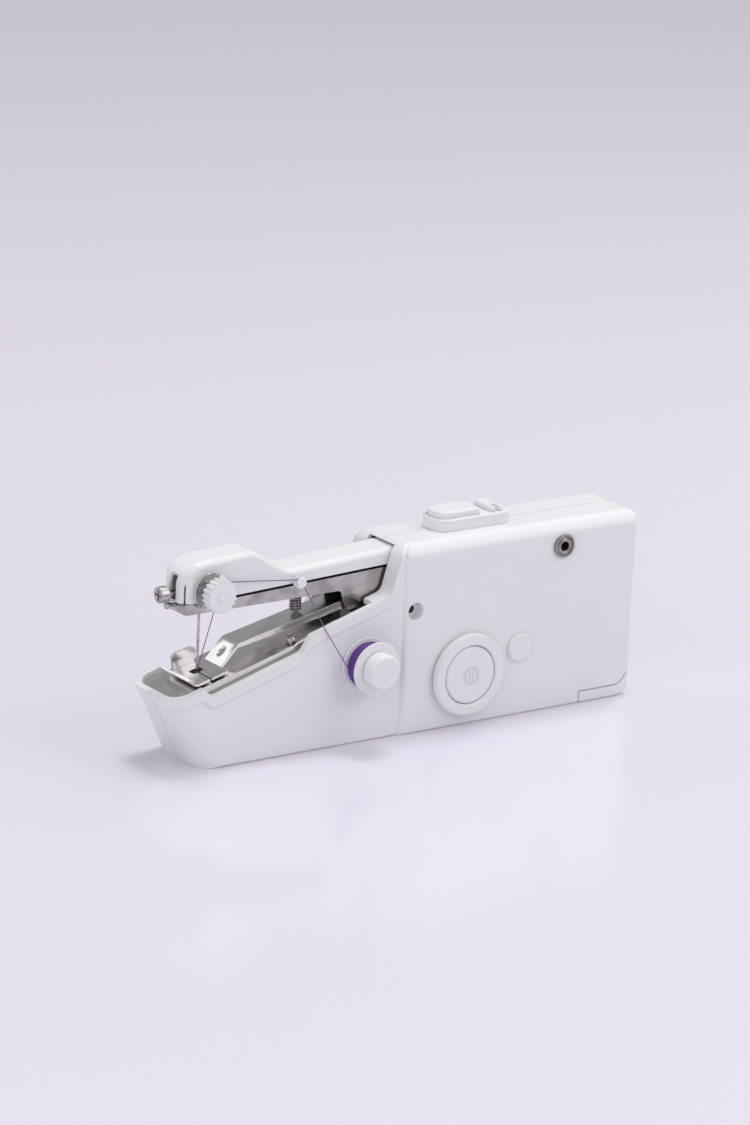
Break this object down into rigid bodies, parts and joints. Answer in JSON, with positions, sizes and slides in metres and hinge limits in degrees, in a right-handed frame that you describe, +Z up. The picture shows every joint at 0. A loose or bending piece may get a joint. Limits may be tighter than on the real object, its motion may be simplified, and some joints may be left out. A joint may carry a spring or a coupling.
{
  "type": "handheld sewing machine",
  "caption": "Handheld battery sewing machine with a block handle, sloping steel bed, hinged needle arm, presser plate, thread spool, hand wheel and top switch.",
  "frame": {"origin": "on the base, on the parting plane, below the shoulder where the handle block meets the bed housing", "axes": "+X from the needle nose to the rear of the handle, -Y out of the face with the hand wheel, +Z up from the base"},
  "size_m": [0.2125, 0.0467, 0.0817],
  "materials": {
    "shell_white": "glossy white moulding",
    "bright_steel": "bright rolled sheet steel",
    "plain_steel": "plain bright steel",
    "bronze": "sintered bearing metal",
    "gear_nylon": "natural nylon",
    "violet_thread": "deep violet sewing thread",
    "dark_nickel": "dark nickel plate",
    "black_plastic": "black moulding",
    "cell_jacket": "plain grey jacket"
  },
  "bodies": {
    "case": {"front_case": "shell_white", "rear_case": "shell_white", "case_screws": "plain_steel", "axle_plug": "shell_white", "bed_channel": "bright_steel", "bed_screws": "plain_steel", "presser_bracket": "plain_steel", "presser_pin": "plain_steel", "arm_pivot_pin": "plain_steel", "shaft_bush": "bronze", "idler_axle": "plain_steel", "motor": "plain_steel", "spool_spindle": "plain_steel", "thread_spool_run": "violet_thread", "switch_base": "shell_white", "switch_module": "black_plastic", "power_jack": "black_plastic", "jack_nut": "dark_nickel", "battery_cell_1": "cell_jacket", "battery_cell_2": "cell_jacket", "battery_cell_3": "cell_jacket", "battery_cell_4": "cell_jacket", "battery_contacts": "plain_steel", "button_spring": "plain_steel"},
    "needle_arm": {"arm_channel": "bright_steel", "arm_cover": "shell_white", "drive_lever": "plain_steel", "needle_clamp": "plain_steel", "needle": "plain_steel", "clamp_screw": "plain_steel", "tension_stud": "plain_steel", "tension_disc_inner": "bright_steel", "tension_disc_outer": "bright_steel", "tension_spring": "plain_steel", "thread_guide": "shell_white", "thread_arm_run": "violet_thread"},
    "tension_dial": {"tension_knob": "shell_white"},
    "needle_thumb_screw": {"needle_screw": "plain_steel"},
    "presser": {"presser_plate": "bright_steel", "presser_spring": "plain_steel"},
    "wheel": {"hand_wheel": "shell_white", "hand_wheel_cap": "shell_white", "crank_shaft": "plain_steel", "crank_gear": "gear_nylon", "crank_pin": "plain_steel"},
    "idler": {"idler_gear": "gear_nylon"},
    "rotor": {"motor_pinion": "gear_nylon"},
    "looper": {"looper_rod": "plain_steel", "looper_hook": "plain_steel"},
    "thread_spool": {"spool": "shell_white", "thread_core": "violet_thread", "thread_winding": "violet_thread"},
    "spool_knob": {"spool_cap": "shell_white"},
    "button": {"power_button": "shell_white"},
    "lock": {"lock_slider": "shell_white"},
    "cover": {"battery_cover": "shell_white", "cover_contacts": "plain_steel"}
  },
  "joints": [
    {"name": "wheel_turn", "type": "hinge", "parent": "case", "child": "wheel", "pos_m": [0.0305, 0, 0.0205], "axis": [0, -1, 0], "range_deg": [0, 180]},
    {"name": "arm_swing", "type": "hinge", "parent": "case", "child": "needle_arm", "pos_m": [0.0054, 0, 0.0486], "axis": [0, -1, 0], "range_deg": [0, 8], "deforming": ["presser_spring", "thread_spool_run", "thread_arm_run"]},
    {"name": "idler_turn", "type": "hinge", "parent": "case", "child": "idler", "pos_m": [0.05518, 0, 0.0273], "axis": [0, -1, 0], "range_deg": [-300, 0]},
    {"name": "rotor_turn", "type": "hinge", "parent": "case", "child": "rotor", "pos_m": [0.05101, 0, 0.05093], "axis": [0, -1, 0], "range_deg": [0, 1200]},
    {"name": "looper_slide", "type": "slide", "parent": "case", "child": "looper", "axis": [1, 0, 0], "range_m": [0, 0.00392]},
    {"name": "presser_lift", "type": "hinge", "parent": "case", "child": "presser", "pos_m": [-0.013, 0, 0.05248], "axis": [0, 1, 0], "range_deg": [0, 4], "deforming": ["presser_spring"]},
    {"name": "tension_turn", "type": "hinge", "parent": "needle_arm", "child": "tension_dial", "pos_m": [-0.0823, 0, 0.0667], "axis": [0, -1, 0], "range_deg": [-360, 360]},
    {"name": "needle_screw_turn", "type": "hinge", "parent": "needle_arm", "child": "needle_thumb_screw", "pos_m": [-0.098, 0, 0.0652], "axis": [-1, 0, 0], "range_deg": [-360, 360]},
    {"name": "spool_spin", "type": "hinge", "parent": "case", "child": "thread_spool", "pos_m": [-0.0166, 0, 0.0313], "axis": [0, -1, 0], "continuous": true},
    {"name": "cap_pull", "type": "slide", "parent": "case", "child": "spool_knob", "axis": [0, -1, 0], "range_m": [0, 0.006]},
    {"name": "button_press", "type": "slide", "parent": "case", "child": "button", "axis": [0, 0, -1], "range_m": [0, 0.002], "stiffness_N_per_m": 500, "deforming": ["button_spring"]},
    {"name": "lock_slide", "type": "slide", "parent": "case", "child": "lock", "axis": [-1, 0, 0], "range_m": [0, 0.0028]},
    {"name": "cover_slide", "type": "slide", "parent": "case", "child": "cover", "axis": [1, 0, 0], "range_m": [0, 0.035]}
  ],
  "couplings": [
    {"joint": "wheel_turn", "follows": "arm_swing", "ratio": 22.5},
    {"joint": "idler_turn", "follows": "arm_swing", "ratio": -37.5},
    {"joint": "rotor_turn", "follows": "arm_swing", "ratio": 150},
    {"joint": "looper_slide", "follows": "arm_swing", "m_per_rad": 0.028047}
  ]
}
